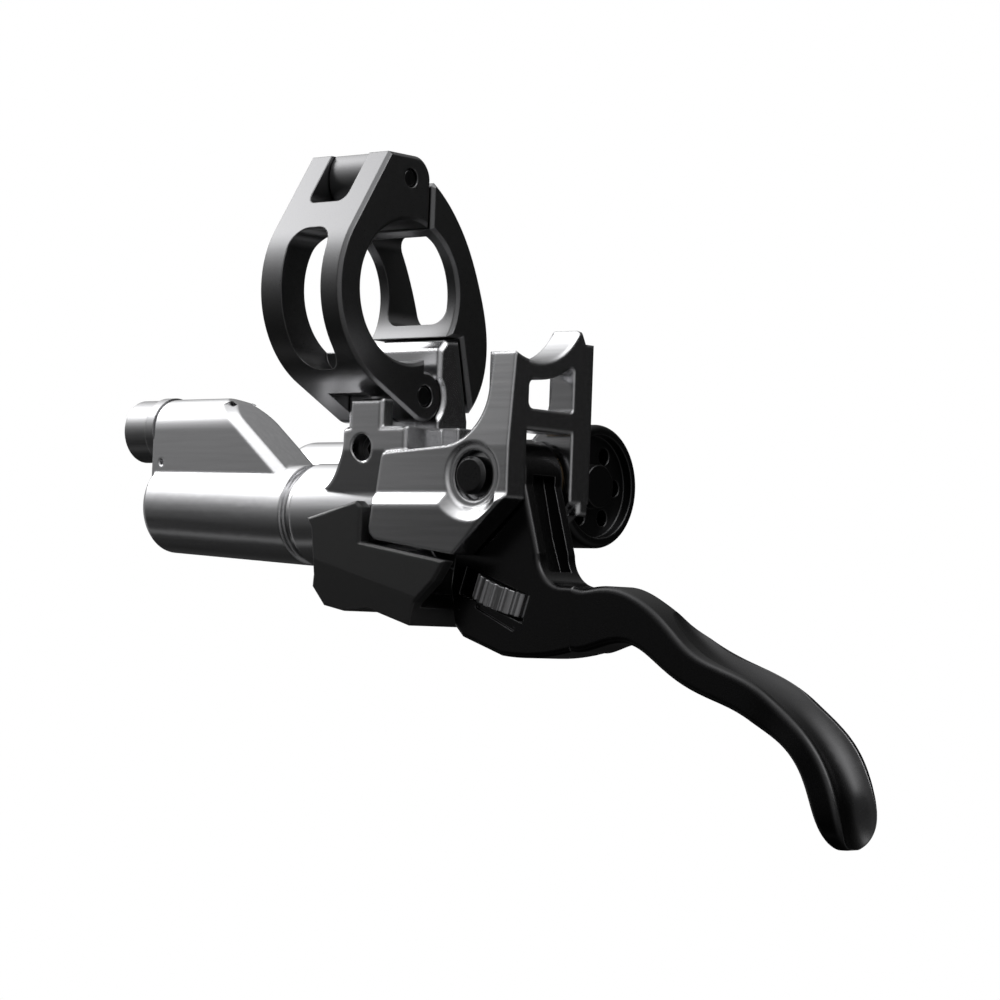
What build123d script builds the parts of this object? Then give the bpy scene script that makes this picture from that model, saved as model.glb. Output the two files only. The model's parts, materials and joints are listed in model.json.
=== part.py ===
"""Hydraulic bicycle brake lever: master cylinder body, hinged bar clamp, lever blade and adjusters.

Frame, in millimetres: the origin is the handlebar axis at the middle of the clamp. +X runs along the bar
towards its end, +Z from the lever towards the bar, and +Y away from the side that shows the pivot pin.
"""
import os
from math import acos, atan2, cos, hypot, pi, radians, sin, sqrt

from build123d import *

os.makedirs("parts", exist_ok=True)
FREE = (Align.NONE, Align.NONE)
FAR = 100.0

# Handlebar and clamp
bar_radius = 11.1
seat_radius = bar_radius + 0.05
clamp_width = 17.0
band_radius = 16.3
hinge_y = -0.9
hinge_z = 17.6
lug_corner_y = 0.3
lug_radius = 3.6
hinge_knuckle_radius = 5.4
hinge_pin_radius = 1.5
knuckle_width = 7.6
knuckle_slot_width = 8.0
hook_y = 4.2
hook_z = -16.0
hook_radius = 4.0
hook_pin_radius = 1.75
shoulder_y = -5.8
slot_floor_z = 13.1
slot_relief = 0.3
slot_corner = 1.6
window_low_x = -3.7
window_high_x = 4.6
window_mid_z = -2.0
window_height = 21.6
window_corner = 3.2
window_back_y = -5.5
far_window_low_x = -6.2
far_window_high_x = 6.3
far_window_mid_z = 3.3
far_window_height = 14.6
far_window_corner = 2.6
far_window_front_y = 6.0
rear_end_y = 4.4
rear_back = [(5.0, 17.6), (8.9, 14.6), (13.6, 8.8), (16.9, 2.0), (18.8, -4.2), (18.9, -10.6), (15.3, -17.8)]
ledge_y = 12.5
ledge_z = -6.2
pin_inset = 0.3
band_edge = 0.5
running_gap = 0.05
swing_gap = 0.4

# Clamp bolt: it points along the path that the rear band takes when it swings open
bolt_y = 13.4
bolt_z = -13.0
bolt_reach = hypot(bolt_y - hinge_y, bolt_z - hinge_z)
bolt_out_y = -(bolt_z - hinge_z) / bolt_reach
bolt_out_z = (bolt_y - hinge_y) / bolt_reach
bolt_thread_radius = 2.1
bolt_core_radius = 1.65
bolt_shank_radius = 2.0
bolt_head_radius = 3.4
bolt_head_height = 3.0
bolt_grip = 2.4
bolt_depth = 4.2
bolt_socket_radius = 1.6
bolt_socket_depth = 2.0
washer_thickness = 0.5

# Master cylinder barrel
bore_y = 3.6
bore_z = -34.7
bore_radius = 5.0
bore_start_x = -32.0
barrel_end_x = -45.9
barrel_end_radius = 7.6
barrel_end_z = -33.5
barrel_end_round = 0.9
barrel_neck_radius = 8.1
barrel_body_radius = 8.3
neck_x = -13.8
neck_width = 1.8
neck_depth = 0.8

# Hose port above the barrel
port_z = -20.9
port_radius = 5.3
port_start_x = -46.0
port_end_x = -15.0
port_depth = 8.0
hose_bore_radius = 2.6
nut_length = 5.8
nut_collar = 1.9
spigot_radius = 3.6
spigot_length = 6.5
nut_step = 0.1
collar_step = 0.25
vent_x = -43.9
vent_z = -26.3
vent_radius = 0.5
vent_depth = 1.0

# Bracket that carries the lever
wall_near_y = -7.2
wall_far_y = 13.5
wall_edge = 0.6
panel_y = -6.1
panel_low_z = -31.6
panel_slope = 58.0
panel_corner = 2.0
dish_radius = 5.4
post_top_y = -4.7
post_lean_z = -24.5
slot_near_y = -1.8
slot_far_y = 9.0
slot_start_x = 17.0
pivot_x = 27.5
pivot_z = -29.0
pivot_radius = 2.9
spot_radius = 4.8
spot_depth = 0.5
spot_slope = 40.0
recess_radius = 3.8
recess_floor_y = -3.4
pin_far_y = 13.0
clip_thickness = 0.6
clip_bite = 0.4

# Lower cover
cover_near_y = -7.6
cover_far_y = 14.6
cover_wall = 2.2
cover_edge = 0.35
cover_lean = 1.4
cover_crease = [(-3.1, -41.9), (17.5, -47.2)]
cover_outline = [
    (-4.8, -35.6),
    (5.5, -32.9),
    (6.6, -33.8),
    (6.6, -39.2),
    (24.0, -41.9),
    (21.8, -45.1),
    (18.0, -48.4),
    (16.9, -51.8),
    (8.4, -49.4),
    (3.2, -49.9),
    (-1.1, -49.1),
    (-3.4, -46.2),
    (-3.0, -44.4),
    (-3.9, -37.0),
]
cover_hollow = [
    (-20, -30),
    (40, -30),
    (40, -49.0),
    (17.5, -49.0),
    (9.0, -46.8),
    (0.6, -46.4),
    (-0.8, -44.0),
    (-20, -43.4),
]

# Bar seat below the clamp
arm_start_x = -7.0
arm_end_x = 8.5
arm_far_y = 14.3
seat_near_y = 2.6
seat_top_z = -21.2
fin_near_y = -5.8
tongue_low_x = 2.0
tongue_high_x = 8.6
tongue_far_y = -3.2
tongue_top_z = -17.1
tongue_length = 8.0
shoulder_z = -21.4
bleed_x = 4.6
bleed_z = -24.6
bleed_radius = 2.1
bleed_floor_y = 0.5
bleed_length = 3.6

# Bar foot
foot_face_x = 34.4
foot_depth = 5.0
foot_near_y = -4.9
foot_seat_radius = 11.5
foot_rim = 2.8
foot_leg_y = 11.0

# Reservoir and contact dial
tank_y = 23.7
tank_z = -29.0
tank_radius = 7.5
tank_start_x = -36.0
tank_end_x = 22.0
tank_wall = 1.6
tank_round = 4.0
plug_length = 6.0
dial_shaft_radius = 2.5
dial_shaft_seat = 3.0
dial_shaft_length = 9.0
dial_radius = 9.7
dial_thickness = 5.6
dial_gap = 0.8
dial_edge = 0.9
dish_depth = 1.6
bladder_start_x = tank_start_x + 8.0
bladder_length = 38.0
bladder_wall = 0.9

# Lever blade
blade_mid_y = bore_y
blade_width = 9.6
hub_radius = 6.2
bush_radius = 3.7
bush_length = 2.8
bush_flange = 0.45
rod_pin_radius = 1.5
blade_edge = 0.8
finger_edge = 1.0
root_end_x = 43.5
groove_radius = 6.0
groove_y = 4.7
# Stations of the finger blade: a point of the bar side, one of the finger side, and the reach in Y
finger_stations = [
    ((43.5, -45.15), (43.5, -54.8), -1.2, 8.4),
    ((48.5, -45.0), (48.5, -54.0), -1.2, 6.4),
    ((55.5, -46.5), (54.0, -53.4), -1.2, 5.2),
    ((60.0, -49.5), (57.4, -54.9), -1.2, 6.2),
    ((64.5, -53.3), (62.2, -58.0), -1.2, 9.4),
    ((71.0, -56.1), (69.0, -60.8), -1.2, 10.6),
    ((79.3, -60.0), (76.7, -63.9), -1.2, 10.7),
    ((84.5, -63.9), (81.4, -66.6), -1.2, 10.7),
    ((88.6, -68.7), (84.6, -70.1), -1.2, 10.6),
    ((90.8, -73.6), (86.4, -74.2), -1.1, 10.2),
    ((91.6, -77.4), (87.6, -77.6), -0.6, 9.4),
    ((91.3, -79.8), (88.5, -79.9), 1.0, 7.8),
    ((90.7, -80.7), (89.2, -80.7), 2.6, 6.2),
]
# Heights of the groove's middle line over the bar side, by station
groove_heights = [
    (3, 6.4),
    (4, 5.2),
    (5, 4.0),
    (6, 4.0),
    (7, 4.0),
    (8, 4.0),
    (9, 4.0),
    (10, 4.2),
    (11, 6.4),
]

# Reach wheel
wheel_x = 28.7
wheel_z = -46.7
wheel_radius = 6.2
wheel_thickness = 3.7
wheel_tilt = 18.6
wheel_teeth = 22
wheel_notch = 0.45
wheel_slot_centre = (28.9, -50.1)
wheel_slot_length = 8.4
wheel_slot_width = 0.7
wheel_slot_depth = 0.5
reach_screw_radius = 1.5
reach_screw_length = 12.4

# Piston and pull rod
piston_radius = bore_radius - running_gap
piston_end_x = 0.0
piston_length = 13.0
rod_seat = 6.0
rod_radius = 1.6
rod_eye_radius = 2.6
rod_eye_width = 3.0
gland_start_x = 9.0
gland_end_x = 15.2
seal_groove_depth = 1.2
seal_width = 1.6
rod_seal_width = 1.8
spring_radius = 3.6
spring_wire = 0.4
spring_pitch = 2.0
spring_length = 8.0


def side(y):
    """The plane across Y at y, with X to the right and Z up. It extrudes towards the near side."""
    return Plane.XZ.offset(-y)


def across(x):
    """The plane across X at x, with Y to the right and Z up. It extrudes towards the bar's end."""
    return Plane.YZ.offset(x)


def facing(direction):
    """A test for flat faces that look along direction, to within a few degrees."""
    return lambda face: face.is_planar and face.normal_at().dot(Vector(*direction)) > 0.99


def steep(edge):
    """A test for straight edges that run down the slope, and not across it."""
    return edge.geom_type == GeomType.LINE and abs(edge.tangent_at(0).Y) < 0.1


def turned(plane, centre, radius, length, hole=0.0, mode=Mode.ADD):
    """Adds a disc or ring to the part being built, or cuts it, from plane along its normal."""
    with BuildSketch(plane) as profile:
        with Locations(centre):
            Circle(radius)
            if hole:
                Circle(hole, mode=Mode.SUBTRACT)
    extrude(profile.sketch, amount=length, mode=mode)


def save(piece, name):
    piece.part.label = name
    export_step(piece.part, f"parts/{name}.step")


bore_centre = (bore_y, bore_z)
tank_centre = (tank_y, tank_z)
tank_bore_radius = tank_radius - tank_wall
bore_axis = Axis((0, bore_y, bore_z), (1, 0, 0))
tank_axis = Axis((0, tank_y, tank_z), (1, 0, 0))
bolt_axis = Axis((0, bolt_y, bolt_z), (0, bolt_out_y, bolt_out_z))
bolt_plane = Plane(
    origin=(0, bolt_y, bolt_z), x_dir=(1, 0, 0), z_dir=(0, bolt_out_y, bolt_out_z)
)
wheel_plane = Plane(
    origin=(wheel_x, blade_mid_y, wheel_z),
    x_dir=(cos(radians(wheel_tilt)), 0, -sin(radians(wheel_tilt))),
    z_dir=(sin(radians(wheel_tilt)), 0, cos(radians(wheel_tilt))),
)

# Forms of the lever body, each finished by itself and then joined into one forging
with BuildPart() as barrel_form:
    with BuildSketch(across(barrel_end_x)):
        with Locations((bore_y, barrel_end_z)):
            Circle(barrel_end_radius)
    with BuildSketch(across(neck_x)):
        with Locations(bore_centre):
            Circle(barrel_neck_radius)
    loft()
    fillet(barrel_form.edges().filter_by(GeomType.CIRCLE).sort_by(Axis.X)[0], radius=barrel_end_round)
    with BuildSketch(side(bore_y)):
        Polygon(
            (neck_x, bore_z),
            (neck_x, bore_z + barrel_neck_radius),
            (neck_x + 0.3, bore_z + barrel_neck_radius - neck_depth),
            (neck_x + neck_width, bore_z + barrel_neck_radius - neck_depth),
            (neck_x + neck_width + 0.6, bore_z + barrel_body_radius),
            (slot_start_x, bore_z + barrel_body_radius),
            (slot_start_x, bore_z),
            align=FREE,
        )
    revolve(axis=bore_axis)

# The port is a round-topped prism whose outboard end slopes down to the barrel in two facets
with BuildPart() as port_form:
    with BuildSketch(across(port_start_x)):
        with Locations((bore_y, port_z)):
            Circle(port_radius)
            Rectangle(2 * port_radius, port_z - bore_z, align=(Align.CENTER, Align.MAX))
    extrude(amount=port_end_x - port_start_x)
    with BuildSketch(side(FAR)):
        Polygon((-34.5, -15.2), (-30.0, -16.7), (-15.0, -28.8), (0, -28.8), (0, 0), (-34.5, 0), align=FREE)
    extrude(amount=2 * FAR, mode=Mode.SUBTRACT)
    chamfer(port_form.faces().filter_by(facing((0.63, 0, 0.78))).edges().filter_by(steep), length=1.4)

# The bracket: its near face is recessed above a sloping ledge and round the pivot. Its posts lean inwards
with BuildPart() as bracket_form:
    with BuildSketch(side(wall_far_y)) as bracket_face:
        with BuildLine():
            Line((9.2, -25.4), (21.6, -24.5))
            ThreePointArc((21.6, -24.5), (27.2, -22.0), (29.8, -16.0))
            Polyline(
                (29.8, -16.0),
                (30.2, -8.0),
                (foot_face_x, -8.0),
                (foot_face_x, -32.2),
                (24.6, -40.9),
                (7.2, -38.6),
                (9.2, -25.4),
            )
        make_face()
        fillet(bracket_face.vertices().sort_by_distance((7.2, -38.6, 0))[0], radius=panel_corner)
        fillet(bracket_face.vertices().sort_by_distance((9.2, -25.4, 0))[0], radius=panel_corner / 2)
    extrude(amount=wall_far_y - wall_near_y)
    chamfer(bracket_form.faces().sort_by(Axis.Y)[0].outer_wire().edges(), length=wall_edge)
    with BuildSketch(side(panel_y)):
        with Locations((0, panel_low_z)):
            Rectangle(FAR, FAR, align=(Align.MIN, Align.MIN))
        with Locations((pivot_x, pivot_z)):
            Circle(dish_radius)
    extrude(amount=2 * (panel_y - wall_near_y), taper=-panel_slope, mode=Mode.SUBTRACT)
    with BuildSketch(across(0)):
        Polygon(
            (post_top_y, 0),
            (post_top_y, -8.0),
            (panel_y, post_lean_z),
            (-FAR, post_lean_z),
            (-FAR, 0),
            align=FREE,
        )
        Polygon((wall_near_y, -34.0), (panel_y - 0.3, -42.0), (-FAR, -42.0), (-FAR, -34.0), align=FREE)
    extrude(amount=FAR, mode=Mode.SUBTRACT)

# The seat carries the far arm and the knuckle that the clamp's hook is pinned to
with BuildPart() as seat_form:
    with BuildSketch(across(arm_start_x)):
        Polygon(
            (7.4, -6.9),
            (12.0, -6.6),
            (arm_far_y, -17.0),
            (arm_far_y, -32.4),
            (seat_near_y, -32.4),
            (seat_near_y, seat_top_z),
            (7.4, seat_top_z),
            align=FREE,
        )
        Circle(seat_radius, mode=Mode.SUBTRACT)
        with Locations((hook_y, hook_z)):
            Circle(hook_radius + swing_gap, mode=Mode.SUBTRACT)
    extrude(amount=arm_end_x - arm_start_x)
    arm_face = seat_form.faces().sort_by(Axis.X)[-1]
    chamfer(arm_face.outer_wire().edges().filter_by_position(Axis.Z, seat_top_z + 3.0, 0), length=0.5)
    with BuildSketch(across(arm_end_x)):
        Polygon(
            (seat_near_y, seat_top_z),
            (arm_far_y, seat_top_z),
            (arm_far_y, -32.4),
            (seat_near_y, -32.4),
            align=FREE,
        )
    extrude(amount=slot_start_x - arm_end_x)
    with BuildSketch(across(-knuckle_width / 2)):
        with Locations((hook_y, hook_z)):
            Circle(hook_radius - 0.2)
            Rectangle(2 * (hook_radius - 0.2), 8.0, align=(Align.CENTER, Align.MAX))
    extrude(amount=knuckle_width)

# The fin on the near side runs from the tongue down to the barrel and leans into it
with BuildPart() as fin_form:
    with BuildSketch(side(seat_near_y)):
        with BuildLine():
            Polyline(
                (0.6, -21.8),
                (1.4, shoulder_z),
                (13.7, shoulder_z),
                (13.7, -27.0),
                (9.0, -32.6),
                (-4.3, -31.0),
            )
            ThreePointArc((-4.3, -31.0), (-0.8, -27.6), (0.6, -21.8))
        make_face()
    extrude(amount=seat_near_y - fin_near_y)
    with BuildSketch(side(tongue_far_y)):
        with Locations((tongue_low_x, tongue_top_z)):
            Rectangle(tongue_high_x - tongue_low_x, tongue_length, align=(Align.MIN, Align.MAX))
    extrude(amount=tongue_far_y - fin_near_y)
    chamfer(fin_form.faces().sort_by(Axis.Y)[0].outer_wire().edges(), length=0.4)
    with BuildSketch(across(-FAR)):
        Polygon((fin_near_y, -25.0), (-4.3, -31.5), (-4.3, -FAR), (-FAR, -FAR), (-FAR, -25.0), align=FREE)
    extrude(amount=2 * FAR, mode=Mode.SUBTRACT)

# The foot is an arch under the bar with a window below its saddle
with BuildPart() as foot_form:
    with BuildSketch(across(foot_face_x - foot_depth)):
        Polygon(
            (foot_near_y, -31.0),
            (foot_near_y, -8.0),
            (9.0, -5.9),
            (11.0, -6.2),
            (11.9, -7.8),
            (wall_far_y - 0.2, -20.0),
            (wall_far_y, -34.2),
            (foot_leg_y, -34.2),
            (foot_leg_y, -22.0),
            (slot_near_y, -22.0),
            (slot_near_y, -31.0),
            align=FREE,
        )
        Circle(foot_seat_radius, mode=Mode.SUBTRACT)
    extrude(amount=foot_depth)
    chamfer(foot_form.faces().sort_by(Axis.X)[-1].edges(), length=0.4)
    with BuildSketch(across(foot_face_x - foot_depth)) as foot_window:
        with Locations((-1.6, -18.7)):
            Rectangle(10.9, 10.0, align=(Align.MIN, Align.MIN))
        Circle(foot_seat_radius + foot_rim, mode=Mode.SUBTRACT)
        fillet(foot_window.vertices(), radius=1.1)
    extrude(amount=foot_depth, mode=Mode.SUBTRACT)

with BuildPart() as tank_form:
    with BuildSketch(side(tank_y)):
        with BuildLine():
            Polyline(
                (tank_start_x + tank_round, tank_z + tank_radius),
                (tank_end_x, tank_z + tank_radius),
                (tank_end_x, tank_z),
                (tank_start_x, tank_z),
                (tank_start_x, tank_z + tank_radius - tank_round),
            )
            RadiusArc(
                (tank_start_x, tank_z + tank_radius - tank_round),
                (tank_start_x + tank_round, tank_z + tank_radius),
                tank_round,
            )
        make_face()
    revolve(axis=tank_axis)
    with BuildSketch(side(tank_y - 3.0)):
        Polygon((-6.0, -24.5), (20.0, -24.5), (20.0, -33.0), (-6.0, -33.0), align=FREE)
    extrude(amount=tank_y - 3.0 - 10.0)

with BuildPart() as lever_body:
    for form in (barrel_form, port_form, bracket_form, seat_form, fin_form, tank_form):
        add(form.part)
    # Cavity for the lever's arm, then the foot that bridges it
    with BuildSketch(side(slot_far_y)):
        Polygon(
            (slot_start_x, -FAR), (slot_start_x, -24.0), (21.0, 0), (FAR, 0), (FAR, -FAR), align=FREE
        )
    extrude(amount=slot_far_y - slot_near_y, mode=Mode.SUBTRACT)
    add(foot_form.part)
    turned(across(foot_face_x - 2 * foot_depth), (0, 0), foot_seat_radius, 20.0, mode=Mode.SUBTRACT)
    # Tank, bore, the bore's clip groove, and the hose port
    turned(across(tank_start_x + 2 * tank_wall), tank_centre, tank_bore_radius, FAR, mode=Mode.SUBTRACT)
    turned(across(bore_start_x), bore_centre, bore_radius, slot_start_x - bore_start_x, mode=Mode.SUBTRACT)
    turned(across(gland_end_x), bore_centre, bore_radius + 0.5, 0.9, mode=Mode.SUBTRACT)
    turned(across(port_start_x), (bore_y, port_z), spigot_radius, port_depth, mode=Mode.SUBTRACT)
    # Vent beside the port, and the bleed hole in the fin
    turned(side(bore_y - port_radius + vent_depth), (vent_x, vent_z), vent_radius, FAR, mode=Mode.SUBTRACT)
    turned(side(bleed_floor_y), (bleed_x, bleed_z), bleed_radius, FAR, mode=Mode.SUBTRACT)
    # Spot face, recess and hole of the pivot pin
    with BuildSketch(side(panel_y + spot_depth)):
        with Locations((pivot_x, pivot_z)):
            Circle(spot_radius)
    extrude(amount=2 * spot_depth, taper=-spot_slope, mode=Mode.SUBTRACT)
    turned(side(recess_floor_y), (pivot_x, pivot_z), recess_radius, 3.0, mode=Mode.SUBTRACT)
    turned(side(pin_far_y), (pivot_x, pivot_z), pivot_radius, 25.0, mode=Mode.SUBTRACT)
    # Pin hole of the hook's knuckle and the tapped hole of the clamp bolt
    turned(across(-10.0), (hook_y, hook_z), hook_pin_radius, 20.0, mode=Mode.SUBTRACT)
    turned(bolt_plane.offset(1.5), (0, 0), bolt_thread_radius, -2.5 - bolt_depth, mode=Mode.SUBTRACT)
save(lever_body, "lever_body")

# Front band: it wraps the near half of the bar, from the hinge lug above to the pinned hook below
lug_end_y = lug_corner_y + lug_radius
lug_top_z = hinge_z + lug_radius
shoulder_angle = atan2(lug_top_z, shoulder_y) + acos(band_radius / hypot(shoulder_y, lug_top_z))
hook_lean = atan2(hook_z, hook_y) - acos((band_radius - hook_radius) / hypot(hook_y, hook_z))


def polar(radius, angle, y=0.0, z=0.0):
    return (y + radius * cos(angle), z + radius * sin(angle))


def chord_z(radius, y):
    return sqrt(radius**2 - y**2)


with BuildPart() as clamp_front_band:
    with BuildSketch(across(-clamp_width / 2)):
        with BuildLine():
            Line((lug_end_y, chord_z(seat_radius, lug_end_y)), (lug_end_y, hinge_z))
            ThreePointArc(
                (lug_end_y, hinge_z),
                polar(lug_radius, pi / 4, lug_corner_y, hinge_z),
                (lug_corner_y, lug_top_z),
            )
            Polyline((lug_corner_y, lug_top_z), (shoulder_y, lug_top_z), polar(band_radius, shoulder_angle))
            ThreePointArc(
                polar(band_radius, shoulder_angle), polar(band_radius, pi), polar(band_radius, hook_lean)
            )
            Line(polar(band_radius, hook_lean), polar(hook_radius, hook_lean, hook_y, hook_z))
            ThreePointArc(
                polar(hook_radius, hook_lean, hook_y, hook_z),
                (hook_y + hook_radius, hook_z),
                (hook_y, hook_z + hook_radius),
            )
            Line((hook_y, hook_z + hook_radius), (hook_y, -chord_z(seat_radius, hook_y)))
            ThreePointArc(
                (hook_y, -chord_z(seat_radius, hook_y)),
                (-seat_radius, 0),
                (lug_end_y, chord_z(seat_radius, lug_end_y)),
            )
        make_face()
    extrude(amount=clamp_width)
    for face in clamp_front_band.faces().filter_by(Axis.X):
        chamfer(face.outer_wire().edges(), length=band_edge)
    turned(across(-clamp_width / 2), (hinge_y, hinge_z), hinge_pin_radius, clamp_width, mode=Mode.SUBTRACT)
    turned(across(-clamp_width / 2), (hook_y, hook_z), hook_pin_radius, clamp_width, mode=Mode.SUBTRACT)
    # Window in the near side
    with BuildSketch(side(window_back_y)):
        with Locations(((window_low_x + window_high_x) / 2, window_mid_z)):
            RectangleRounded(window_high_x - window_low_x, window_height, window_corner)
    extrude(amount=FAR, mode=Mode.SUBTRACT)
    # Slot round the rear band's knuckle, with round corners where it opens to the near side
    with BuildSketch(across(-knuckle_slot_width / 2)):
        with Locations((hinge_y, hinge_z)):
            Circle(hinge_knuckle_radius + slot_relief)
        with Locations((hinge_y, hinge_z - hinge_knuckle_radius - slot_relief)):
            Rectangle(FAR, FAR, align=(Align.MIN, Align.MIN))
    extrude(amount=knuckle_slot_width, mode=Mode.SUBTRACT)
    with BuildSketch(side(hinge_y)):
        with Locations((0, slot_floor_z)):
            RectangleRounded(knuckle_slot_width, FAR, slot_corner, align=(Align.CENTER, Align.MIN))
    extrude(amount=FAR, mode=Mode.SUBTRACT)
    # Fork round the body's knuckle
    with BuildSketch(across(-knuckle_slot_width / 2)):
        with Locations((hook_y, hook_z)):
            Circle(hook_radius + slot_relief)
            Rectangle(20, hook_radius + slot_relief, align=(Align.CENTER, Align.MAX))
            Rectangle(20, 12, align=(Align.MIN, Align.CENTER))
    extrude(amount=knuckle_slot_width, mode=Mode.SUBTRACT)
save(clamp_front_band, "clamp_front_band")

# Rear band: it swings on the hinge pin and is drawn onto the far arm by the clamp bolt
rear_seat_top = (rear_end_y, chord_z(seat_radius, rear_end_y))
ledge_seat = (chord_z(seat_radius, ledge_z), ledge_z)
with BuildPart() as clamp_rear_band:
    with BuildSketch(across(-clamp_width / 2)):
        with BuildLine():
            Polyline(rear_seat_top, (rear_end_y, rear_back[0][1] - 0.6), rear_back[0])
            Spline(*rear_back)
            Polyline(rear_back[-1], (ledge_y, ledge_z), ledge_seat)
            ThreePointArc(ledge_seat, (seat_radius, 0), rear_seat_top)
        make_face()
    extrude(amount=clamp_width)
    for face in clamp_rear_band.faces().filter_by(Axis.X):
        chamfer(face.outer_wire().edges(), length=band_edge)
    with BuildSketch(side(FAR)):
        with Locations(((far_window_low_x + far_window_high_x) / 2, far_window_mid_z)):
            RectangleRounded(far_window_high_x - far_window_low_x, far_window_height, far_window_corner)
    extrude(amount=FAR - far_window_front_y, mode=Mode.SUBTRACT)
    # Knuckle and the neck that joins it to the band
    with BuildSketch(across(-knuckle_width / 2)):
        with Locations((hinge_y, hinge_z)):
            Circle(hinge_knuckle_radius)
        Polygon(
            (hinge_y, hinge_z - hinge_knuckle_radius + 0.4),
            (4.6, 14.0),
            (5.2, 10.9),
            (8.0, 13.8),
            (hinge_y + 1.0, lug_top_z),
            align=FREE,
        )
        Circle(seat_radius, mode=Mode.SUBTRACT)
        # The knuckle's crown is level with the lug
        with Locations((hinge_y, lug_top_z)):
            Rectangle(FAR, FAR, align=(Align.CENTER, Align.MIN), mode=Mode.SUBTRACT)
        with Locations((hinge_y, hinge_z)):
            Circle(hinge_pin_radius + running_gap, mode=Mode.SUBTRACT)
    extrude(amount=knuckle_width)
    # Bolt hole and the flat-bottomed seat of its head
    turned(bolt_plane.offset(-2), (0, 0), bolt_shank_radius + 0.2, 14, mode=Mode.SUBTRACT)
    turned(bolt_plane.offset(bolt_grip), (0, 0), bolt_head_radius + 0.4, 12, mode=Mode.SUBTRACT)
save(clamp_rear_band, "clamp_rear_band")

# Hinge pin and hook pin of the clamp
pin_start_x = pin_inset - clamp_width / 2
pin_length = clamp_width - 2 * pin_inset
with BuildPart() as clamp_hinge_pin:
    turned(across(pin_start_x), (hinge_y, hinge_z), hinge_pin_radius, pin_length)
    chamfer(clamp_hinge_pin.edges().filter_by(GeomType.CIRCLE), length=0.3)
save(clamp_hinge_pin, "clamp_hinge_pin")

with BuildPart() as clamp_hook_pin:
    turned(across(pin_start_x), (hook_y, hook_z), hook_pin_radius, pin_length)
    chamfer(clamp_hook_pin.edges().filter_by(GeomType.CIRCLE), length=0.3)
save(clamp_hook_pin, "clamp_hook_pin")

# Clamp bolt with a six-sided socket, and its washer
head_plane = bolt_plane.offset(bolt_grip + washer_thickness)
with BuildPart() as clamp_bolt:
    turned(head_plane, (0, 0), bolt_head_radius, bolt_head_height)
    chamfer(clamp_bolt.edges().filter_by(GeomType.CIRCLE).sort_by(bolt_axis)[-1], length=0.4)
    turned(head_plane, (0, 0), bolt_shank_radius, -bolt_grip)
    turned(bolt_plane.offset(washer_thickness), (0, 0), bolt_core_radius, -bolt_depth)
    with BuildSketch(head_plane.offset(bolt_head_height)):
        RegularPolygon(bolt_socket_radius, 6)
    extrude(amount=-bolt_socket_depth, mode=Mode.SUBTRACT)
save(clamp_bolt, "clamp_bolt")

with BuildPart() as clamp_washer:
    turned(
        bolt_plane.offset(bolt_grip), (0, 0), bolt_head_radius + 0.2, washer_thickness, bolt_shank_radius
    )
save(clamp_washer, "clamp_washer")

# Lower cover: a plastic shell round the underside of the bracket, open towards the lever
crease_plane = Plane(
    origin=(cover_crease[0][0], cover_near_y, cover_crease[0][1]),
    x_dir=(0, 1, 0),
    z_dir=(cover_crease[1][0] - cover_crease[0][0], 0, cover_crease[1][1] - cover_crease[0][1]),
)
with BuildPart() as lower_cover:
    with BuildSketch(side(cover_far_y)):
        Polygon(*cover_outline, align=FREE)
    extrude(amount=cover_far_y - cover_near_y)
    chamfer(lower_cover.faces().sort_by(Axis.Y)[0].outer_wire().edges(), length=cover_edge)
    # Below the crease the near side leans inwards
    with BuildSketch(crease_plane.offset(-FAR)):
        Polygon((0, 0), (cover_lean, -10), (-5, -10), (-5, 0), align=FREE)
    extrude(amount=2 * FAR, mode=Mode.SUBTRACT)
    with BuildSketch(side(cover_far_y - cover_wall)):
        Polygon(*cover_hollow, align=FREE)
    extrude(amount=cover_far_y - cover_near_y - 2 * cover_wall, mode=Mode.SUBTRACT)
    with BuildSketch(side(cover_far_y)):
        Polygon((-20, -30), (7.0, -30), (7.0, -36.6), (-20, -36.6), align=FREE)
    extrude(amount=cover_wall, mode=Mode.SUBTRACT)
save(lower_cover, "lower_cover")

# Hose nut: a collar on the port and a nut with the hose bore through it
collar_x = port_start_x - nut_collar
with BuildPart() as hose_nut:
    turned(across(collar_x), (bore_y, port_z), port_radius - nut_step, -nut_length)
    chamfer(hose_nut.faces().sort_by(Axis.X)[0].outer_wire().edges(), length=0.6)
    turned(across(collar_x), (bore_y, port_z), port_radius + collar_step, nut_collar)
    turned(across(port_start_x), (bore_y, port_z), spigot_radius, spigot_length)
    turned(across(-FAR), (bore_y, port_z), hose_bore_radius, 2 * FAR, mode=Mode.SUBTRACT)
save(hose_nut, "hose_nut")

# Bleed screw, sunk in its hole in the fin
with BuildPart() as bleed_screw:
    turned(side(bleed_floor_y), (bleed_x, bleed_z), bleed_radius, bleed_length)
    with BuildSketch(side(bleed_floor_y - bleed_length)):
        with Locations((bleed_x, bleed_z)):
            RegularPolygon(1.2, 6)
    extrude(amount=-2.0, mode=Mode.SUBTRACT)
save(bleed_screw, "bleed_screw")

# Pivot pin and the clip that holds it in the near wall's recess
pin_near_y = panel_y - 0.6
clip_y = recess_floor_y - 0.1
with BuildPart() as pivot_pin:
    turned(side(pin_far_y), (pivot_x, pivot_z), pivot_radius, pin_far_y - pin_near_y)
    chamfer(pivot_pin.edges().filter_by(GeomType.CIRCLE).sort_by(Axis.Y)[0], length=0.5)
    turned(
        side(clip_y),
        (pivot_x, pivot_z),
        pivot_radius + 1,
        clip_thickness,
        pivot_radius - clip_bite,
        Mode.SUBTRACT,
    )
save(pivot_pin, "pivot_pin")

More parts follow.
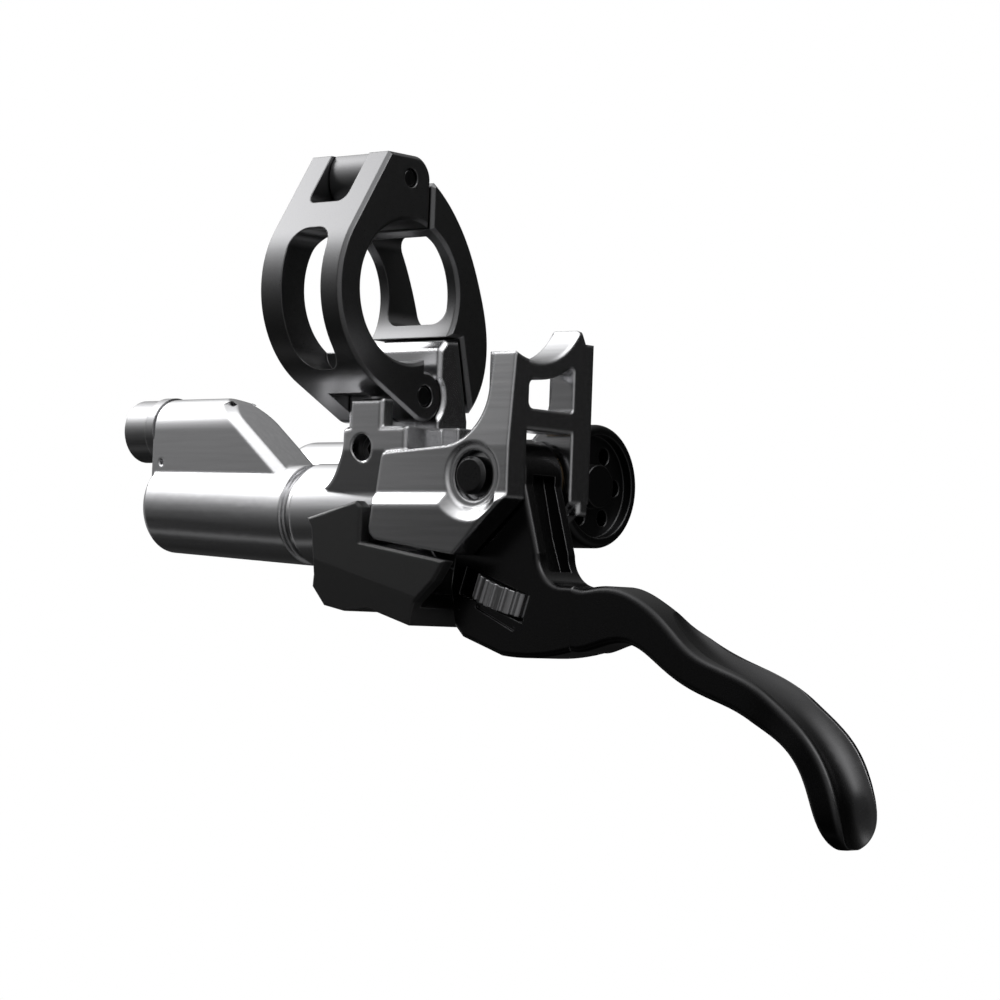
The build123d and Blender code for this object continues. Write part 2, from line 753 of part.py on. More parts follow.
with BuildPart() as pivot_clip:
    with BuildSketch(side(clip_y)):
        with Locations((pivot_x, pivot_z)):
            Circle(recess_radius - 0.15)
            Circle(pivot_radius - clip_bite, mode=Mode.SUBTRACT)
            Rectangle(1.6, 8, align=(Align.CENTER, Align.MAX), mode=Mode.SUBTRACT)
    extrude(amount=clip_thickness)
save(pivot_clip, "pivot_clip")

# Lever blade: arm on the pivot, root round the reach wheel, and the finger blade with its groove
blade_near_y = blade_mid_y - blade_width / 2
blade_far_y = blade_mid_y + blade_width / 2


def station_up(station):
    """The direction across a station of the finger blade, from its finger side to its bar side."""
    (bar_x, bar_z), (finger_x, finger_z) = station[:2]
    return Vector(bar_x - finger_x, 0, bar_z - finger_z).normalized()


def over_station(station, height):
    """The point that lies height above the bar side of a station, in the groove's plane."""
    return Vector(station[0][0], groove_y, station[0][1]) + station_up(station) * height


groove_line = [over_station(finger_stations[row], height) for row, height in groove_heights]
with BuildPart() as lever_blade:
    with BuildSketch(side(blade_far_y)):
        with BuildLine():
            Line((root_end_x, -45.15), (root_end_x, -54.8))
            Spline((root_end_x, -54.8), (37.0, -55.9), (30.2, -55.8))
            Polyline((30.2, -55.8), (22.4, -53.2), (20.8, -51.6), (19.6, -46.0), (21.4, -31.0))
            ThreePointArc((21.4, -31.0), (pivot_x, pivot_z + hub_radius), (33.6, -30.0))
            Line((33.6, -30.0), (36.7, -40.4))
            ThreePointArc((36.7, -40.4), (38.3, -43.9), (41.4, -45.1))
            Line((41.4, -45.1), (root_end_x, -45.15))
        make_face()
    extrude(amount=blade_width)
    for face in lever_blade.faces().filter_by(Axis.Y):
        fillet(face.outer_wire().edges().filter_by_position(Axis.X, 0, root_end_x - 0.1), radius=blade_edge)
    # Finger blade, lofted through its stations
    for bar_side, finger_side, near_y, far_y in finger_stations:
        up = Vector(bar_side[0] - finger_side[0], 0, bar_side[1] - finger_side[1])
        middle = Vector(bar_side[0] + finger_side[0], near_y + far_y, bar_side[1] + finger_side[1]) / 2
        corner = min(finger_edge, 0.4 * up.length)
        with BuildSketch(Plane(origin=middle, x_dir=(0, 1, 0), z_dir=(up.Z, 0, -up.X))):
            RectangleRounded(far_y - near_y, up.length, corner)
    loft()
    # Groove along the bar side of the finger blade
    with BuildLine() as groove_path:
        Spline(*groove_line)
    with BuildSketch(Plane(origin=groove_path.line @ 0, z_dir=groove_path.line % 0)):
        Circle(groove_radius)
    sweep(mode=Mode.SUBTRACT)
    # Channel in the outboard face of the arm
    with BuildSketch(side(blade_mid_y + 2.6)):
        Polygon((31.2, -28.5), (33.6, -38.0), (35.4, -43.0), (FAR, -43.0), (FAR, -28.5), align=FREE)
    extrude(amount=5.2, mode=Mode.SUBTRACT)
    # Pivot hole with its bush seats, the pull rod's slot and cross pin hole
    turned(side(blade_far_y), (pivot_x, pivot_z), bush_radius, blade_width, mode=Mode.SUBTRACT)
    with BuildSketch(side(blade_mid_y + rod_eye_width / 2 + swing_gap)):
        Polygon(
            (31.6, -38.6), (10, -38.6), (10, -27.6), (22.5, -29.6), (27.5, -31.2), (31.6, -31.2), align=FREE
        )
    extrude(amount=rod_eye_width + 2 * swing_gap, mode=Mode.SUBTRACT)
    turned(side(blade_far_y), (pivot_x, bore_z), rod_pin_radius, blade_width, mode=Mode.SUBTRACT)
    # Window of the reach wheel and the hole of its screw
    with BuildSketch(wheel_plane.offset(-wheel_thickness / 2 - 0.3)):
        Rectangle(2 * wheel_radius + 0.8, 30)
    extrude(amount=wheel_thickness + 0.6, mode=Mode.SUBTRACT)
    turned(
        wheel_plane.offset(-reach_screw_length / 2),
        (0, 0),
        reach_screw_radius,
        reach_screw_length,
        mode=Mode.SUBTRACT,
    )
    # Shallow slot below the wheel
    with BuildSketch(side(blade_near_y + wheel_slot_depth)):
        with Locations(wheel_slot_centre):
            SlotOverall(wheel_slot_length, wheel_slot_width, rotation=-wheel_tilt - 5.4)
    extrude(amount=FAR, mode=Mode.SUBTRACT)
save(lever_blade, "lever_blade")

pivot_clear = pivot_radius + running_gap
with BuildPart() as pivot_bushes:
    for inner_y, outward in ((blade_near_y, 1), (blade_far_y, -1)):
        turned(side(inner_y), (pivot_x, pivot_z), bush_radius, -outward * bush_length, pivot_clear)
        turned(side(inner_y), (pivot_x, pivot_z), bush_radius + 1.4, outward * bush_flange, pivot_clear)
save(pivot_bushes, "pivot_bushes")

with BuildPart() as rod_pin:
    turned(side(blade_far_y - pin_inset), (pivot_x, bore_z), rod_pin_radius, blade_width - 2 * pin_inset)
save(rod_pin, "rod_pin")

# Reach wheel with a knurled rim, on the screw through the lever's root
with BuildPart() as reach_wheel:
    with BuildSketch(wheel_plane.offset(-wheel_thickness / 2)):
        Circle(wheel_radius)
        with PolarLocations(wheel_radius, wheel_teeth):
            Circle(wheel_notch, mode=Mode.SUBTRACT)
        Circle(reach_screw_radius + running_gap, mode=Mode.SUBTRACT)
    extrude(amount=wheel_thickness)
save(reach_wheel, "reach_wheel")

with BuildPart() as reach_screw:
    turned(wheel_plane.offset(-reach_screw_length / 2), (0, 0), reach_screw_radius, reach_screw_length)
save(reach_screw, "reach_screw")

# Piston with two seals, drawn outwards by the pull rod against the return spring
seal_starts = (piston_end_x - 4.2, piston_end_x - piston_length + 2.4)
groove_core = piston_radius - seal_groove_depth
with BuildPart() as piston:
    turned(across(piston_end_x), bore_centre, piston_radius, -piston_length)
    for start in seal_starts:
        turned(across(start), bore_centre, piston_radius, seal_width, groove_core, Mode.SUBTRACT)
    turned(across(piston_end_x), bore_centre, rod_radius, -rod_seat, mode=Mode.SUBTRACT)
save(piston, "piston")

with BuildPart() as piston_seals:
    for start in seal_starts:
        turned(across(start), bore_centre, piston_radius + 0.02, seal_width, groove_core)
save(piston_seals, "piston_seals")

with BuildPart() as pull_rod:
    turned(
        across(piston_end_x - rod_seat),
        bore_centre,
        rod_radius,
        pivot_x - rod_eye_radius + 0.6 - (piston_end_x - rod_seat),
    )
    with BuildSketch(side(bore_y + rod_eye_width / 2)):
        with Locations((pivot_x, bore_z)):
            Circle(rod_eye_radius)
            Rectangle(2 * rod_eye_radius, 2 * rod_radius, align=(Align.MAX, Align.CENTER))
    extrude(amount=rod_eye_width)
    # The eye's slot takes up the arc of the lever's cross pin
    with BuildSketch(side(bore_y + rod_eye_width)):
        with Locations((pivot_x, bore_z + 0.15)):
            SlotCenterToCenter(0.7, 2 * rod_pin_radius + 0.2, rotation=90)
    extrude(amount=2 * rod_eye_width, mode=Mode.SUBTRACT)
save(pull_rod, "pull_rod")

# Gland that closes the bore round the rod, its clip, and the rod's seal
rod_seal_radius = rod_radius + 1.4
with BuildPart() as gland_bush:
    turned(
        across(gland_start_x),
        bore_centre,
        bore_radius,
        gland_end_x - gland_start_x,
        rod_radius + running_gap,
    )
    turned(across(gland_start_x), bore_centre, rod_seal_radius, rod_seal_width, mode=Mode.SUBTRACT)
save(gland_bush, "gland_bush")

with BuildPart() as rod_seal:
    turned(across(gland_start_x), bore_centre, rod_seal_radius, rod_seal_width, rod_radius + 0.03)
save(rod_seal, "rod_seal")

with BuildPart() as gland_clip:
    with BuildSketch(across(gland_end_x)):
        with Locations(bore_centre):
            Circle(bore_radius + 0.4)
            Circle(bore_radius - 1.2, mode=Mode.SUBTRACT)
            Rectangle(3.0, 10, align=(Align.CENTER, Align.MAX), mode=Mode.SUBTRACT)
    extrude(amount=0.8)
save(gland_clip, "gland_clip")

# Return spring between the piston and the gland
with BuildPart() as return_spring:
    with BuildLine() as spring_line:
        Helix(
            pitch=spring_pitch,
            height=spring_length,
            radius=spring_radius,
            center=(piston_end_x + 0.5, bore_y, bore_z),
            direction=(1, 0, 0),
        )
    with BuildSketch(Plane(origin=spring_line.line @ 0, z_dir=spring_line.line % 0)):
        RegularPolygon(spring_wire, 8)
    sweep()
save(return_spring, "return_spring")

# Contact dial on the tank's outboard end: plug, seal, shaft and the dial itself
dial_start_x = tank_end_x + dial_gap
plug_groove_x = tank_end_x - 4.0
plug_groove_core = tank_bore_radius - 1.0
with BuildPart() as dial_bush:
    turned(across(tank_end_x), tank_centre, tank_bore_radius, -plug_length)
    turned(across(tank_end_x), tank_centre, tank_radius - 0.4, 0.5)
    turned(across(-FAR), tank_centre, dial_shaft_radius + running_gap, 2 * FAR, mode=Mode.SUBTRACT)
    plug_groove = across(plug_groove_x)
    turned(plug_groove, tank_centre, tank_bore_radius, seal_width, plug_groove_core, Mode.SUBTRACT)
save(dial_bush, "dial_bush")

with BuildPart() as dial_seal:
    turned(across(plug_groove_x), tank_centre, tank_bore_radius, seal_width, plug_groove_core)
save(dial_seal, "dial_seal")

with BuildPart() as dial_shaft:
    turned(
        across(tank_end_x - dial_shaft_length),
        tank_centre,
        dial_shaft_radius,
        dial_shaft_length + dial_gap + dial_shaft_seat,
    )
save(dial_shaft, "dial_shaft")

with BuildPart() as contact_dial:
    turned(across(dial_start_x), tank_centre, dial_radius, dial_thickness)
    fillet(contact_dial.edges().filter_by(GeomType.CIRCLE), radius=dial_edge)
    # Dished face with holes, and the seat of the shaft
    turned(
        across(dial_start_x + dial_thickness - dish_depth),
        tank_centre,
        dial_radius - 1.6,
        2 * dish_depth,
        3.4,
        Mode.SUBTRACT,
    )
    with BuildSketch(across(dial_start_x)):
        with Locations(tank_centre):
            with PolarLocations(5.6, 6):
                Circle(1.3)
    extrude(amount=dial_thickness, mode=Mode.SUBTRACT)
    turned(across(dial_start_x), tank_centre, dial_shaft_radius, dial_shaft_seat, mode=Mode.SUBTRACT)
save(contact_dial, "contact_dial")

# Rubber bladder inside the tank
with BuildPart() as tank_bladder:
    turned(across(bladder_start_x), tank_centre, tank_bore_radius - 0.3, bladder_length)
    offset(openings=tank_bladder.faces().sort_by(Axis.X)[-1], amount=-bladder_wall)
save(tank_bladder, "tank_bladder")
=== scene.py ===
# %% [markdown]
# # A hydraulic bicycle brake lever
# The lever hangs in a white studio, as a product picture shows it: a black anodised clamp, a bright
# turned cylinder, a black finger blade and a plastic cover below. The pieces come from the CAD frame at
# their real size. This lesson places the camera, gives every piece its finish, winds a thread and a
# spring, and builds the studio that the metal reflects.

# %% Load the frame
import json
import math

import bmesh
import bpy
from mathutils import Matrix, Vector


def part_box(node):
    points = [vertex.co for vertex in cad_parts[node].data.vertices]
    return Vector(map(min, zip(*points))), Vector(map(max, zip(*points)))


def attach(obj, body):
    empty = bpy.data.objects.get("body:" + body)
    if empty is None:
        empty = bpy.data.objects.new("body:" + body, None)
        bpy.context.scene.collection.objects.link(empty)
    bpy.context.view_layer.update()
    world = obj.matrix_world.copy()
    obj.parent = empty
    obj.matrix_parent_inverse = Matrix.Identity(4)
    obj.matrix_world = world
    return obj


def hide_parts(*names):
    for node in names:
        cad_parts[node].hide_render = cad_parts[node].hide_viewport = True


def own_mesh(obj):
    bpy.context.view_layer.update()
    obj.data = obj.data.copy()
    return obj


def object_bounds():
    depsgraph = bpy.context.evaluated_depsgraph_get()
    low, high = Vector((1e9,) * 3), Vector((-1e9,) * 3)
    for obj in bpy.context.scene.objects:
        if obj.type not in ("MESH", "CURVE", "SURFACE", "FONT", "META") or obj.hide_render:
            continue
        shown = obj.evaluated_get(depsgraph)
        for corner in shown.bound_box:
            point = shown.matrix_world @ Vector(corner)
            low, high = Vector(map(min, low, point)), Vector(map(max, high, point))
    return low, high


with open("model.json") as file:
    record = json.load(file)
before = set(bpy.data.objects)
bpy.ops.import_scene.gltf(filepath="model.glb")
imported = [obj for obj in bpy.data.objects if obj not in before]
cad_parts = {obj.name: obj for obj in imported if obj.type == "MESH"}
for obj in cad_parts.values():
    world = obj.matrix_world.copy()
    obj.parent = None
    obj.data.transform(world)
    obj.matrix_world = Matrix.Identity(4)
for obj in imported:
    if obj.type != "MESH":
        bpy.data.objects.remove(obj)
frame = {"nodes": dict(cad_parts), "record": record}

MM = 0.001
nodes = frame["nodes"]
cad_low, cad_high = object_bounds()
print("nodes:", len(nodes), "size in mm:", [round(v / MM, 1) for v in cad_high - cad_low])

# %% [markdown]
# ## The camera
# The picture was taken from the front right, a little below the handlebar, with a long lens. Its place
# was worked out from the clamp ring, which is a true circle of known size. A Track To constraint could
# aim the camera, but it leaves no say over the roll. One matrix holds the place and three angles: the
# azimuth round the upright axis, the elevation, and a slight roll.

# %% Place the camera
CAMERA_PLACE = Vector((338.06, -366.75, -51.67)) * MM
CAMERA_AZIMUTH = math.radians(40.2)
CAMERA_ELEVATION = math.radians(-2.3)
CAMERA_ROLL = math.radians(2.07)
CAMERA_LENS = 114.7
CAMERA_SENSOR = 36.0


def camera_turn(azimuth, elevation, roll):
    """Rotation of a camera that looks from that azimuth and elevation, rolled about its own axis."""
    back = Vector((
        math.sin(azimuth) * math.cos(elevation),
        -math.cos(azimuth) * math.cos(elevation),
        math.sin(elevation),
    ))
    level = Vector((math.cos(azimuth), math.sin(azimuth), 0.0))
    up = back.cross(level)
    right = level * math.cos(roll) + up * math.sin(roll)
    upright = up * math.cos(roll) - level * math.sin(roll)
    return Matrix((right, upright, back)).transposed().to_4x4()


camera_data = bpy.data.cameras.new("camera")
camera_data.lens = CAMERA_LENS
camera_data.sensor_width = CAMERA_SENSOR
camera = bpy.data.objects.new("camera", camera_data)
bpy.context.scene.collection.objects.link(camera)
camera.matrix_world = Matrix.Translation(CAMERA_PLACE) @ camera_turn(
    CAMERA_AZIMUTH, CAMERA_ELEVATION, CAMERA_ROLL
)
bpy.context.scene.camera = camera
bpy.context.scene.view_settings.view_transform = "Standard"
print("camera at", [round(v, 3) for v in CAMERA_PLACE])

# %% [markdown]
# ## Shader maths
# A finish is mostly arithmetic on noise and coordinates. Placing Math nodes one by one hides that, so a
# small class wraps a socket and turns Python operators into Math nodes. Every other node comes from one
# method, which takes the node's type, its settings and what feeds its sockets.

# %% A socket that can do arithmetic


class Wire:
    """An output socket of a shader tree. Arithmetic on it adds Math nodes."""

    def __init__(self, tree, socket=None):
        self.tree = tree
        self.socket = socket

    def node(self, kind, settings=None, inputs=None, out=0):
        """Adds a node, sets it up, feeds its sockets and returns the chosen output."""
        made = self.tree.nodes.new(kind)
        for name, value in (settings or {}).items():
            if name == "stops":
                ramp = made.color_ramp
                while len(ramp.elements) < len(value):
                    ramp.elements.new(1.0)
                for element, (place, level) in zip(ramp.elements, value):
                    element.position = place
                    element.color = (level, level, level, 1.0)
            else:
                setattr(made, name, value)
        for name, value in (inputs or {}).items():
            if isinstance(value, Wire):
                self.tree.links.new(value.socket, made.inputs[name])
            else:
                made.inputs[name].default_value = value
        return Wire(self.tree, made.outputs[out] if made.outputs else None)

    def maths(self, operation, first, second):
        """Adds a Math node on two values."""
        return self.node("ShaderNodeMath", {"operation": operation}, {0: first, 1: second})

    def __add__(self, other):
        return self.maths("ADD", self, other)

    __radd__ = __add__

    def __sub__(self, other):
        return self.maths("SUBTRACT", self, other)

    def __rsub__(self, other):
        return self.maths("SUBTRACT", other, self)

    def __mul__(self, other):
        return self.maths("MULTIPLY", self, other)

    __rmul__ = __mul__

    def __truediv__(self, other):
        return self.maths("DIVIDE", self, other)

    def __rtruediv__(self, other):
        return self.maths("DIVIDE", other, self)


print("reflected operators:", [name for name in vars(Wire) if name.startswith("__r")])

# %% [markdown]
# ## Grain
# Brushed and turned metal keeps the marks of its tool, and a moulding those of its mould. A picture of
# scratches would need an unwrapped surface. Noise on Object coordinates needs none, and its grain has
# the same size on every piece. A Mapping node draws the noise out along one axis, the way that the tool
# ran.

# %% Read the grain
EVEN = (1.0, 1.0, 1.0)
ALONG_X = (0.04, 1.0, 1.0)
PLAIN_DETAIL = 3.0


def start_finish(name):
    """A new material and a wire to start its tree from."""
    material = bpy.data.materials.new(name)
    material.use_nodes = True
    material.node_tree.nodes.clear()
    return material, Wire(material.node_tree)


def object_grain(wire, stretch, scale, detail=PLAIN_DETAIL):
    """Noise on Object coordinates, drawn out along the axes where stretch is small."""
    place = wire.node("ShaderNodeTexCoord", out="Object")
    drawn = wire.node("ShaderNodeMapping", inputs={"Vector": place, "Scale": stretch})
    return wire.node(
        "ShaderNodeTexNoise", inputs={"Vector": drawn, "Scale": scale, "Detail": detail}, out="Fac"
    )


print("brushed grain is drawn out", round(1 / ALONG_X[0]), "times along X")

# %% [markdown]
# ## Edges
# No real edge is quite sharp: it is broken with a file or worn by hands, so it catches a thin line of
# light. A bevel on every mesh would be slow and would change the size. The Bevel node rounds only the
# shading. Where its normal departs from the plain one there is an edge, and there the colour goes paler:
# partly the wear of the finish, partly a painted highlight, a thin line of light drawn into the colour.
# Fingers rub the outer blade far more than the arm at the pivot, and there the painted edge lines are
# strongest. Where its normal departs from the plain one there is an edge, and that difference tells where
# the finish is worn. On the lever, fingers rub the outer blade far more than the arm at the pivot.

# %% Round and wear the edges
PLAIN_EDGE = 0.25 * MM
BEVEL_SAMPLES = 6
WEAR_HIGHLIGHT_GAIN = 5.0
RUB_HIGHLIGHT_START = 40 * MM
RUB_HIGHLIGHT_FULL = 55 * MM
RUB_HIGHLIGHT_LEAST = 0.2


def rounded_edges(wire, radius):
    """Normals that turn smoothly over sharp edges."""
    return wire.node("ShaderNodeBevel", {"samples": BEVEL_SAMPLES}, {"Radius": radius})


def worn_highlit_edges(wire, radius):
    """1 along sharp edges, which get wear and a painted highlight, and 0 on flat ground."""
    plain = wire.node("ShaderNodeNewGeometry", out="Normal")
    alike = wire.node(
        "ShaderNodeVectorMath",
        {"operation": "DOT_PRODUCT"},
        {0: rounded_edges(wire, radius), 1: plain},
        out="Value",
    )
    # Paler colour along edges: wear of the finish, and a painted highlight line.
    return wire.maths("MINIMUM", WEAR_HIGHLIGHT_GAIN * (1.0 - alike), 1.0)


def finger_rub_highlight(wire):
    """Strength of the edges' wear and painted highlight: little at the arm, full on the finger blade."""
    place = wire.node("ShaderNodeTexCoord", out="Object")
    along = wire.node("ShaderNodeSeparateXYZ", inputs={0: place}, out="X")
    return wire.node(
        "ShaderNodeMapRange",
        inputs={
            "Value": along,
            "From Min": RUB_HIGHLIGHT_START,
            "From Max": RUB_HIGHLIGHT_FULL,
            "To Min": RUB_HIGHLIGHT_LEAST,
            "To Max": 1.0,
        },
    )


print("plain edge radius in mm:", PLAIN_EDGE / MM)

# %% [markdown]
# ## Metals
# The body is brushed aluminium, the clamp and the blade are anodised black, and pins and screws are
# steel. All are one Principled shader at full Metallic. A texture for each would hide what they share,
# so one function makes them from a few values: two tones that follow the grain, the paler tone of the
# edges, which shows their wear and paints a highlight line on them, and a gloss that varies with the
# grain as well.

# %% Colour, relief and shader
NEUTRAL = (1.0, 1.0, 1.02)
WARM = (1.0, 0.74, 0.45)
WEAR_HIGHLIGHT_LEAST = 0.4


def shade(value, hue=NEUTRAL):
    """A colour as bright as value, tinged with hue."""
    return (*(value * part for part in hue), 1.0)


def blend_tones(wire, factor, low, high):
    """A colour that runs from low to high with factor."""
    return wire.node("ShaderNodeMix", {"data_type": "RGBA"}, {0: factor, 6: low, 7: high}, out=2)


def tint(wire, tones, wear_highlight_tone, grain, wear_highlight, hue=NEUTRAL):
    """Colour between two tones by the grain, paler along edges for wear and a painted highlight."""
    low, high = tones
    ground = blend_tones(wire, grain, shade(low, hue), shade(high, hue))
    # Along edges the colour goes to a paler tone: worn finish, and a painted highlight line.
    return blend_tones(wire, wear_highlight * (WEAR_HIGHLIGHT_LEAST + (1 - WEAR_HIGHLIGHT_LEAST) * grain), ground, shade(wear_highlight_tone, hue))


def grain_bump(wire, grain, strength, depth, edge):
    """Normals with the grain's relief on rounded edges."""
    return wire.node(
        "ShaderNodeBump",
        inputs={
            "Strength": strength,
            "Distance": depth,
            "Height": grain,
            "Normal": rounded_edges(wire, edge),
        },
    )


def close_finish(material, wire, **sockets):
    """Ends a tree in one Principled shader."""
    shader = wire.node(
        "ShaderNodeBsdfPrincipled", inputs={name.replace("_", " "): v for name, v in sockets.items()}
    )
    wire.node("ShaderNodeOutputMaterial", inputs={"Surface": shader})
    return material


print("warm tone at half brightness:", shade(0.5, WARM))

# %% Make the metals
METAL_RELIEF = 0.05 * MM
METAL_GLOSS_SWING = 0.12


def metal(
    name, tones, wear_highlight_tone, rough, scale, stretch=EVEN, bump=0.02, edge=PLAIN_EDGE, hue=NEUTRAL, rub_highlight=None
):
    """A metal whose colour and gloss vary with a drawn-out grain."""
    material, wire = start_finish(name)
    grain = object_grain(wire, stretch, scale)
    # The edges' paler colour is wear and a painted highlight; on the blade it is stronger where fingers
    # rub.
    wear_highlight = worn_highlit_edges(wire, edge)
    if rub_highlight:
        wear_highlight = wear_highlight * rub_highlight(wire)
    return close_finish(
        material,
        wire,
        Base_Color=tint(wire, tones, wear_highlight_tone, grain, wear_highlight, hue),
        Metallic=1.0,
        Roughness=rough + METAL_GLOSS_SWING * (grain - 0.5),
        Normal=grain_bump(wire, grain, bump, METAL_RELIEF, edge),
    )


finishes = {
    "body_alloy": metal(
        "brushed_alloy",
        (0.55, 0.68),
        wear_highlight_tone=0.75,
        rough=0.18,
        scale=1400.0,
        stretch=ALONG_X,
        bump=0.03,
        edge=0.7 * MM,
    ),
    "band_alloy": metal(
        "black_anodised", (0.12, 0.16), wear_highlight_tone=0.2, rough=0.3, scale=5000.0, bump=0.01, edge=0.3 * MM
    ),
    # The blade's pale edge tone paints highlight lines on its groove rims, besides its wear.
    "blade_alloy": metal(
        "satin_black_alloy", (0.035, 0.05), wear_highlight_tone=0.6, rough=0.25, scale=6000.0, bump=0.04, rub_highlight=finger_rub_highlight
    ),
    "nut_alloy": metal(
        "grey_anodised", (0.28, 0.36), wear_highlight_tone=0.5, rough=0.32, scale=2500.0, stretch=ALONG_X
    ),
    "wheel_alloy": metal("knurled_grey", (0.45, 0.58), wear_highlight_tone=0.65, rough=0.3, scale=3000.0),
    "dial_alloy": metal(
        "black_dial", (0.03, 0.045), wear_highlight_tone=0.1, rough=0.32, scale=5000.0, edge=0.4 * MM
    ),
    "bright_steel": metal("bright_steel", (0.5, 0.6), wear_highlight_tone=0.65, rough=0.25, scale=2500.0),
    "black_steel": metal("black_steel", (0.03, 0.05), wear_highlight_tone=0.2, rough=0.3, scale=3500.0),
    "bronze": metal("bearing_bronze", (0.25, 0.32), wear_highlight_tone=0.4, rough=0.35, scale=2500.0, hue=WARM),
    "piston_alloy": metal("hard_anodised", (0.42, 0.5), wear_highlight_tone=0.6, rough=0.35, scale=2500.0),
}
print("metals:", sorted(finishes))

# %% [markdown]
# ## Plastic and rubber
# The cover below the bracket is a black moulding with a fine spark-eroded texture, and the seals are
# rubber. Both are plain Principled shaders without Metallic. Their grain is finer and even in every
# direction, so it gets more detail and a stronger bump, and the gloss stays low.

# %% Make the plastics and dress the pieces
FINE_DETAIL = 5.0
PLASTIC_RELIEF = 0.04 * MM
PLASTIC_GLOSS_SWING = 0.15


def plastic(name, tones, wear_highlight_tone, rough, scale, bump, edge=PLAIN_EDGE):
    """A moulded plastic with a fine even texture."""
    material, wire = start_finish(name)
    grain = object_grain(wire, EVEN, scale, FINE_DETAIL)
    return close_finish(
        material,
        wire,
        # The moulding's edges go paler: a painted highlight line, and a little wear.
        Base_Color=tint(wire, tones, wear_highlight_tone, grain, worn_highlit_edges(wire, edge)),
        Roughness=rough + PLASTIC_GLOSS_SWING * (grain - 0.5),
        Normal=grain_bump(wire, grain, bump, PLASTIC_RELIEF, edge),
    )


finishes["cover_plastic"] = plastic(
    "black_moulding", (0.009, 0.015), wear_highlight_tone=0.06, rough=0.42, scale=4000.0, bump=0.2, edge=0.4 * MM
)
finishes["seal_rubber"] = plastic(
    "seal_rubber", (0.015, 0.025), wear_highlight_tone=0.03, rough=0.6, scale=2500.0, bump=0.15
)
for subpart in frame["record"]["subparts"]:
    mesh = nodes[subpart["node"]].data
    mesh.materials.clear()
    mesh.materials.append(finishes[subpart["material_slot"]])

# %% [markdown]
# ## The clamp bolt's thread
# The CAD bolt has a smooth core, because a thread matters only to the eye, and only once the clamp is
# open. A Screw modifier could wind one, but a thread is just a small three-point profile that turns and
# climbs at once, and the spin operator does both: it takes the turn from its angle and the climb from
# its step vector. The ridge's feet are sunk in the core, so no gap shows.

# %% Helpers for wound pieces
TURN_STEPS = 24


def winding(profile, axis, pitch, turns):
    """Spins the open or closed profile in a bmesh along a helix about an axis through the origin."""
    bmesh.ops.spin(
        profile,
        geom=profile.verts[:] + profile.edges[:],
        cent=(0.0, 0.0, 0.0),
        axis=axis,
        dvec=axis * (pitch / TURN_STEPS),
        angle=math.tau * turns,
        steps=TURN_STEPS * turns,
    )
    bmesh.ops.recalc_face_normals(profile, faces=profile.faces)


def fit_piece(name, shape, slot, body):
    """Turns a bmesh into a piece of the lever that rides on a body and has a slot's finish."""
    mesh = bpy.data.meshes.new(name)
    shape.to_mesh(mesh)
    shape.free()
    mesh.materials.append(finishes[slot])
    mesh.shade_smooth()
    piece = bpy.data.objects.new(name, mesh)
    bpy.context.scene.collection.objects.link(piece)
    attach(piece, body)
    print(name, "faces:", len(mesh.polygons))
    return piece


joints = {joint["name"]: joint for joint in frame["record"]["behaviour"]["joints"]}
print("joints:", list(joints))

# %% Cut the thread
THREAD_FOOT = 1.6 * MM
THREAD_CREST = 1.95 * MM
THREAD_PITCH = 0.7 * MM
THREAD_TURNS = 4
BOLT_PLACE = Vector((0.0, 13.4, -13.0)) * MM

reach = (BOLT_PLACE - Vector(joints["clamp_hinge"]["pos_m"])).normalized()
bolt_inwards = reach.cross(Vector((1.0, 0.0, 0.0)))
ridge = bmesh.new()
flank_points = [
    ridge.verts.new((radius, 0.0, rise * THREAD_PITCH))
    for radius, rise in ((THREAD_FOOT, 0.4), (THREAD_CREST, 0.0), (THREAD_FOOT, -0.4))
]
for pair in zip(flank_points, flank_points[1:]):
    ridge.edges.new(pair)
winding(ridge, Vector((0.0, 0.0, 1.0)), THREAD_PITCH, THREAD_TURNS)
seat = Matrix.Translation(BOLT_PLACE) @ bolt_inwards.to_track_quat("Z", "Y").to_matrix().to_4x4()
bmesh.ops.transform(ridge, matrix=seat, verts=ridge.verts)
bolt_thread = fit_piece("bolt_thread", ridge, "bright_steel", "rear_clamp")

# %% [markdown]
# ## The return spring
# The CAD spring keeps the length that it has at rest. A real one shortens as the lever draws the piston
# outwards, and a stiff one would cut into the piston. A curve with a round bevel could give the coil, but
# the operator that wound the thread winds a wire as well. The new coil is wound at the rest length and
# takes the CAD spring's place; nothing here shortens it with the piston's stroke.

# %% Wind the return spring
WIRE_RADIUS = 0.4 * MM
WIRE_SEGMENTS = 10
SPRING_TURNS = 4

spring_low, spring_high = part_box("return_spring")
spring_middle = (Vector(spring_low) + Vector(spring_high)) / 2
spring_length = spring_high[0] - spring_low[0]
spring_pitch = (spring_length - 2 * WIRE_RADIUS) / SPRING_TURNS
coil_radius = (spring_high[1] - spring_low[1]) / 2 - WIRE_RADIUS
coil = bmesh.new()
bmesh.ops.create_circle(coil, segments=WIRE_SEGMENTS, radius=WIRE_RADIUS)
bmesh.ops.rotate(coil, matrix=Matrix.Rotation(math.pi / 2, 3, "X"), verts=coil.verts)
bmesh.ops.translate(coil, vec=(0.0, 0.0, coil_radius), verts=coil.verts)
winding(coil, Vector((1.0, 0.0, 0.0)), spring_pitch, SPRING_TURNS)
bmesh.ops.holes_fill(coil, edges=coil.edges)
spring_start = Vector((spring_low[0] + WIRE_RADIUS, spring_middle.y, spring_middle.z))
bmesh.ops.translate(coil, vec=spring_start, verts=coil.verts)
spring_coil = fit_piece("spring_coil", coil, "bright_steel", "cylinder")
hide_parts("return_spring")
piston_stroke = joints["piston_stroke"]["range_m"][1]
1 - piston_stroke / spring_length
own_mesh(spring_coil)

